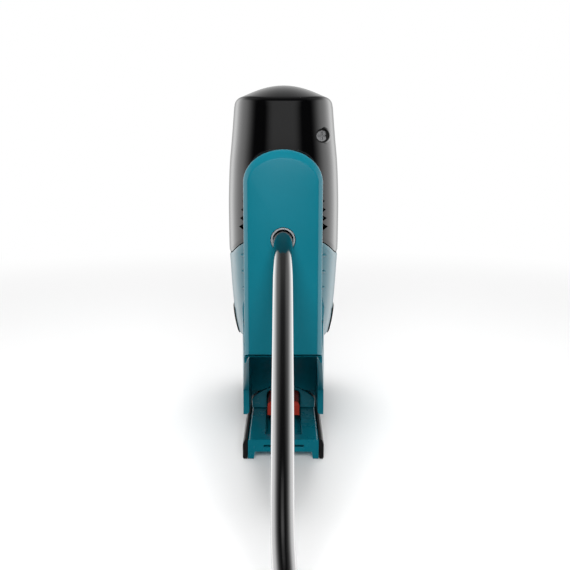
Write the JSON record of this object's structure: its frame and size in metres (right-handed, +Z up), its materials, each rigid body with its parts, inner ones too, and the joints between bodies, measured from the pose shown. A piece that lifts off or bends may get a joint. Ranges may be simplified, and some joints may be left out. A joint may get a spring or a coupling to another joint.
{
  "type": "jigsaw power tool",
  "caption": "Corded D-handle jigsaw with a teal housing, a black head cover, a bevelling shoe, a geared plunger drive and a coiled mains cord",
  "frame": {"origin": "on the floor under the middle of the tool without its cord", "axes": "+X right as seen from behind, +Y forward to the blade end, +Z up"},
  "size_m": [0.1316, 0.5562, 0.2229],
  "materials": {
    "housing_teal": "satin moulded polyamide, teal",
    "head_black": "high gloss black moulding",
    "soft_grip": "fine textured soft grip",
    "shoe_paint": "baked teal enamel on a die-cast shoe",
    "control_black": "fine spark-eroded texture",
    "lock_red": "satin red moulding",
    "steel": "ground and lightly oiled",
    "alloy": "die-cast, satin",
    "brass": "turned",
    "winding": "varnished copper winding and laminations",
    "dark_plastic": "moulded, plain",
    "cord_rubber": "smooth black sheath",
    "relief_grey": "soft grey moulding",
    "dial_grey": "knurled grey moulding"
  },
  "bodies": {
    "housing": {"head_cover": "head_black", "motor_housing_right": "housing_teal", "motor_housing_left": "housing_teal", "rear_column": "housing_teal", "grip_right": "housing_teal", "grip_left": "housing_teal", "grip_pad": "soft_grip", "lower_housing_right": "housing_teal", "lower_housing_left": "housing_teal", "bevel_seat": "alloy", "field_stack": "steel", "rear_bearing": "steel", "front_bearing": "steel", "gear_axle": "steel", "gear_case": "alloy", "upper_bush": "brass", "lower_bush": "brass", "plunger_seal": "soft_grip", "fork_pin": "steel", "switch_body": "dark_plastic", "brush_holder_left": "brass", "carbon_brush_left": "dark_plastic", "brush_holder_right": "brass", "carbon_brush_right": "dark_plastic", "speed_module": "dark_plastic", "head_screw": "steel", "cord_clamp": "dark_plastic", "clamp_screw_left": "steel", "clamp_screw_right": "steel", "strain_relief": "relief_grey", "cord_run": "cord_rubber", "cord_tail": "cord_rubber", "cord_coil": "cord_rubber", "coil_tie": "dark_plastic", "plug_body": "cord_rubber", "plug_pin_left": "brass", "plug_pin_right": "brass"},
    "armature": {"armature": "winding", "commutator": "brass", "cooling_fan": "dark_plastic", "drive_pinion": "steel"},
    "drive_gear": {"drive_gear": "steel", "crank_pin": "steel"},
    "plunger": {"plunger": "steel", "blade_clamp": "steel"},
    "clamp_ring": {"clamp_ring": "control_black"},
    "pendulum_fork": {"pendulum_fork": "steel", "roller_pin": "steel"},
    "guide_roller": {"guide_roller": "steel"},
    "trigger": {"trigger": "control_black"},
    "lock_button": {"lock_button": "control_black"},
    "speed_dial": {"speed_dial": "dial_grey"},
    "orbit_selector": {"orbit_selector": "control_black"},
    "shoe": {"shoe_plate": "shoe_paint", "shoe_pad_left": "soft_grip", "shoe_pad_right": "soft_grip", "bevel_saddle": "shoe_paint"},
    "bevel_lock": {"bevel_lock": "lock_red"}
  },
  "joints": [
    {"name": "armature_spin", "type": "hinge", "parent": "housing", "child": "armature", "pos_m": [0, 0, 0.092], "axis": [0, 1, 0], "continuous": true},
    {"name": "gear_spin", "type": "hinge", "parent": "housing", "child": "drive_gear", "pos_m": [0, 0.07, 0.1153], "axis": [0, 1, 0], "continuous": true},
    {"name": "plunger_stroke", "type": "slide", "parent": "housing", "child": "plunger", "axis": [0, 0, 1], "range_m": [-0.01, 0.01]},
    {"name": "clamp_ring_turn", "type": "hinge", "parent": "plunger", "child": "clamp_ring", "pos_m": [0, 0.09, 0.045], "axis": [0, 0, 1], "range_deg": [0, 40], "stiffness_Nm_per_rad": 0.05},
    {"name": "pendulum_swing", "type": "hinge", "parent": "housing", "child": "pendulum_fork", "pos_m": [0, 0.068, 0.0476], "axis": [1, 0, 0], "range_deg": [0, 5], "stiffness_Nm_per_rad": 0.2},
    {"name": "roller_spin", "type": "hinge", "parent": "pendulum_fork", "child": "guide_roller", "pos_m": [0, 0.0745, 0.026], "axis": [1, 0, 0], "continuous": true},
    {"name": "trigger_squeeze", "type": "hinge", "parent": "housing", "child": "trigger", "pos_m": [0, -0.021, 0.1585], "axis": [-1, 0, 0], "range_deg": [0, 9], "stiffness_Nm_per_rad": 0.6},
    {"name": "lock_button_press", "type": "slide", "parent": "housing", "child": "lock_button", "axis": [1, 0, 0], "range_m": [0, 0.0025], "stiffness_N_per_m": 400},
    {"name": "speed_dial_turn", "type": "hinge", "parent": "housing", "child": "speed_dial", "pos_m": [0.0284, 0.085, 0.15], "axis": [0, 0, 1], "range_deg": [0, 300]},
    {"name": "orbit_selector_turn", "type": "hinge", "parent": "housing", "child": "orbit_selector", "pos_m": [-0.027, 0.044, 0.042], "axis": [1, 0, 0], "range_deg": [-90, 0]},
    {"name": "bevel_tilt", "type": "hinge", "parent": "housing", "child": "shoe", "pos_m": [0, 0.02, 0], "axis": [0, 1, 0], "range_deg": [-45, 45]},
    {"name": "bevel_lock_slide", "type": "slide", "parent": "shoe", "child": "bevel_lock", "axis": [0, -1, 0], "range_m": [0, 0.006], "stiffness_N_per_m": 200}
  ],
  "couplings": [
    {"joint": "gear_spin", "follows": "armature_spin", "ratio": -0.21429}
  ]
}
